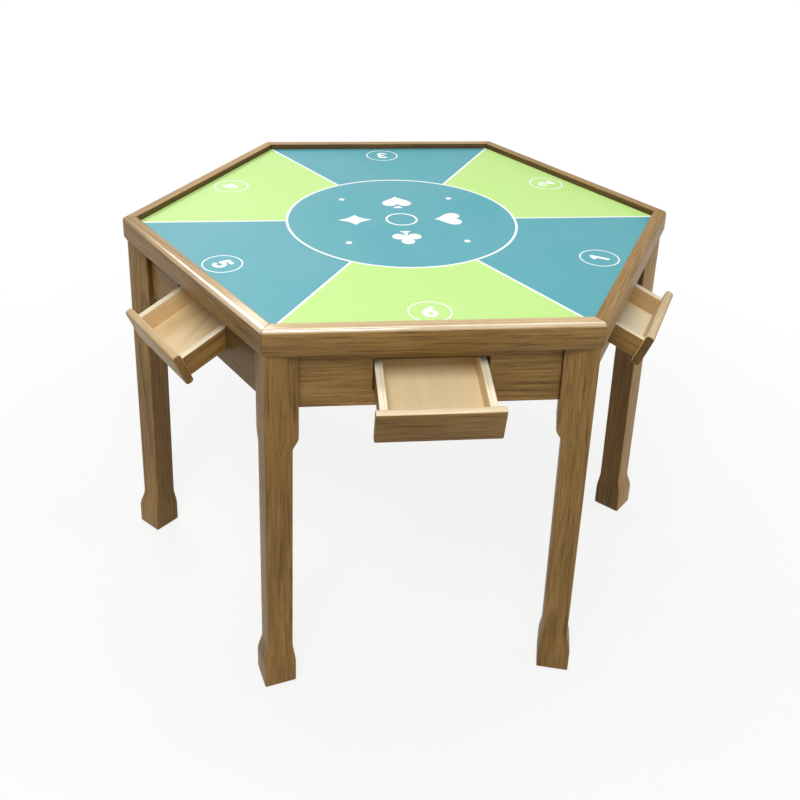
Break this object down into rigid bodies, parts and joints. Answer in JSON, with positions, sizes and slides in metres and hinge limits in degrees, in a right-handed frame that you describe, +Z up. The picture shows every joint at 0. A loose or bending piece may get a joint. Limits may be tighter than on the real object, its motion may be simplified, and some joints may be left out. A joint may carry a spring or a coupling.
{
  "type": "card table",
  "caption": "Six-sided card table with a raised rim round a recessed playing mat, square legs with flared feet, and a drawer under each side.",
  "frame": {"origin": "on the floor under the centre of the top", "axes": "+Z up, -Y towards the seat 6 side that faces the viewer, +X to the viewer's right through leg 1"},
  "size_m": [1.16, 1.1804, 0.76],
  "materials": {
    "oak": "satin lacquer over oak grain",
    "maple": "pale wood, clear satin lacquer",
    "plywood": "raw plywood",
    "mat": "printed matt mat, blue and green sectors with white lines",
    "steel": "zinc plated",
    "nylon": "natural nylon"
  },
  "bodies": {
    "table": {"apron_1": "oak", "apron_2": "oak", "apron_3": "oak", "apron_4": "oak", "apron_5": "oak", "apron_6": "oak", "bracket_screws": "steel", "corner_blocks": "maple", "drawer_runners": "maple", "foot_glides": "nylon", "leg_1": "oak", "leg_2": "oak", "leg_3": "oak", "leg_4": "oak", "leg_5": "oak", "leg_6": "oak", "leg_bolts": "steel", "leg_nuts": "steel", "leg_washers": "steel", "mitre_tongues": "maple", "playing_mat": "mat", "rim_rail_1": "oak", "rim_rail_2": "oak", "rim_rail_3": "oak", "rim_rail_4": "oak", "rim_rail_5": "oak", "rim_rail_6": "oak", "top_board": "plywood", "top_brackets": "steel"},
    "rocking_strip_1": {"rocking_strip_1": "nylon"},
    "drawer_1": {"drawer_1_front": "oak", "drawer_1_sides": "maple", "drawer_1_back": "maple", "drawer_1_bottom": "maple"},
    "rocking_strip_2": {"rocking_strip_2": "nylon"},
    "drawer_2": {"drawer_2_front": "oak", "drawer_2_sides": "maple", "drawer_2_back": "maple", "drawer_2_bottom": "maple"},
    "rocking_strip_3": {"rocking_strip_3": "nylon"},
    "drawer_3": {"drawer_3_front": "oak", "drawer_3_sides": "maple", "drawer_3_back": "maple", "drawer_3_bottom": "maple"},
    "rocking_strip_4": {"rocking_strip_4": "nylon"},
    "drawer_4": {"drawer_4_front": "oak", "drawer_4_sides": "maple", "drawer_4_back": "maple", "drawer_4_bottom": "maple"},
    "rocking_strip_5": {"rocking_strip_5": "nylon"},
    "drawer_5": {"drawer_5_front": "oak", "drawer_5_sides": "maple", "drawer_5_back": "maple", "drawer_5_bottom": "maple"},
    "rocking_strip_6": {"rocking_strip_6": "nylon"},
    "drawer_6": {"drawer_6_front": "oak", "drawer_6_sides": "maple", "drawer_6_back": "maple", "drawer_6_bottom": "maple"}
  },
  "joints": [
    {"name": "strip_1_rock", "type": "hinge", "parent": "table", "child": "rocking_strip_1", "pos_m": [0.39748, -0.22948, 0.6245], "axis": [-0.5, -0.866, 0], "range_deg": [-0.1, 21.1]},
    {"name": "drawer_1_slide", "type": "slide", "parent": "rocking_strip_1", "child": "drawer_1", "axis": [0.8085, -0.4668, -0.3584], "range_m": [-0.057, 0]},
    {"name": "strip_2_rock", "type": "hinge", "parent": "table", "child": "rocking_strip_2", "pos_m": [0.39748, 0.22948, 0.6245], "axis": [0.5, -0.866, 0], "range_deg": [-0.1, 23.1]},
    {"name": "drawer_2_slide", "type": "slide", "parent": "rocking_strip_2", "child": "drawer_2", "axis": [0.7972, 0.4603, -0.3907], "range_m": [-0.076, 0]},
    {"name": "strip_3_rock", "type": "hinge", "parent": "table", "child": "rocking_strip_3", "pos_m": [0, 0.45897, 0.6245], "axis": [1, 0, 0], "range_deg": [-0.1, 15.1]},
    {"name": "drawer_3_slide", "type": "slide", "parent": "rocking_strip_3", "child": "drawer_3", "axis": [0, 0.9659, -0.2588], "range_m": [-0.097, 0]},
    {"name": "strip_4_rock", "type": "hinge", "parent": "table", "child": "rocking_strip_4", "pos_m": [-0.39748, 0.22948, 0.6245], "axis": [0.5, 0.866, 0], "range_deg": [-0.1, 21.1]},
    {"name": "drawer_4_slide", "type": "slide", "parent": "rocking_strip_4", "child": "drawer_4", "axis": [-0.8085, 0.4668, -0.3584], "range_m": [-0.057, 0]},
    {"name": "strip_5_rock", "type": "hinge", "parent": "table", "child": "rocking_strip_5", "pos_m": [-0.39748, -0.22948, 0.6245], "axis": [-0.5, 0.866, 0], "range_deg": [-0.1, 23.1]},
    {"name": "drawer_5_slide", "type": "slide", "parent": "rocking_strip_5", "child": "drawer_5", "axis": [-0.7972, -0.4603, -0.3907], "range_m": [-0.076, 0]},
    {"name": "strip_6_rock", "type": "hinge", "parent": "table", "child": "rocking_strip_6", "pos_m": [0, -0.45897, 0.6245], "axis": [-1, 0, 0], "range_deg": [-0.1, 15.1]},
    {"name": "drawer_6_slide", "type": "slide", "parent": "rocking_strip_6", "child": "drawer_6", "axis": [0, -0.9659, -0.2588], "range_m": [-0.097, 0]}
  ],
  "couplings": [
    {"joint": "strip_1_rock", "follows": "drawer_1_slide", "rad_per_m": -6.4302},
    {"joint": "strip_2_rock", "follows": "drawer_2_slide", "rad_per_m": -5.2819},
    {"joint": "strip_3_rock", "follows": "drawer_3_slide", "rad_per_m": -2.699},
    {"joint": "strip_4_rock", "follows": "drawer_4_slide", "rad_per_m": -6.4302},
    {"joint": "strip_5_rock", "follows": "drawer_5_slide", "rad_per_m": -5.2819},
    {"joint": "strip_6_rock", "follows": "drawer_6_slide", "rad_per_m": -2.699}
  ]
}
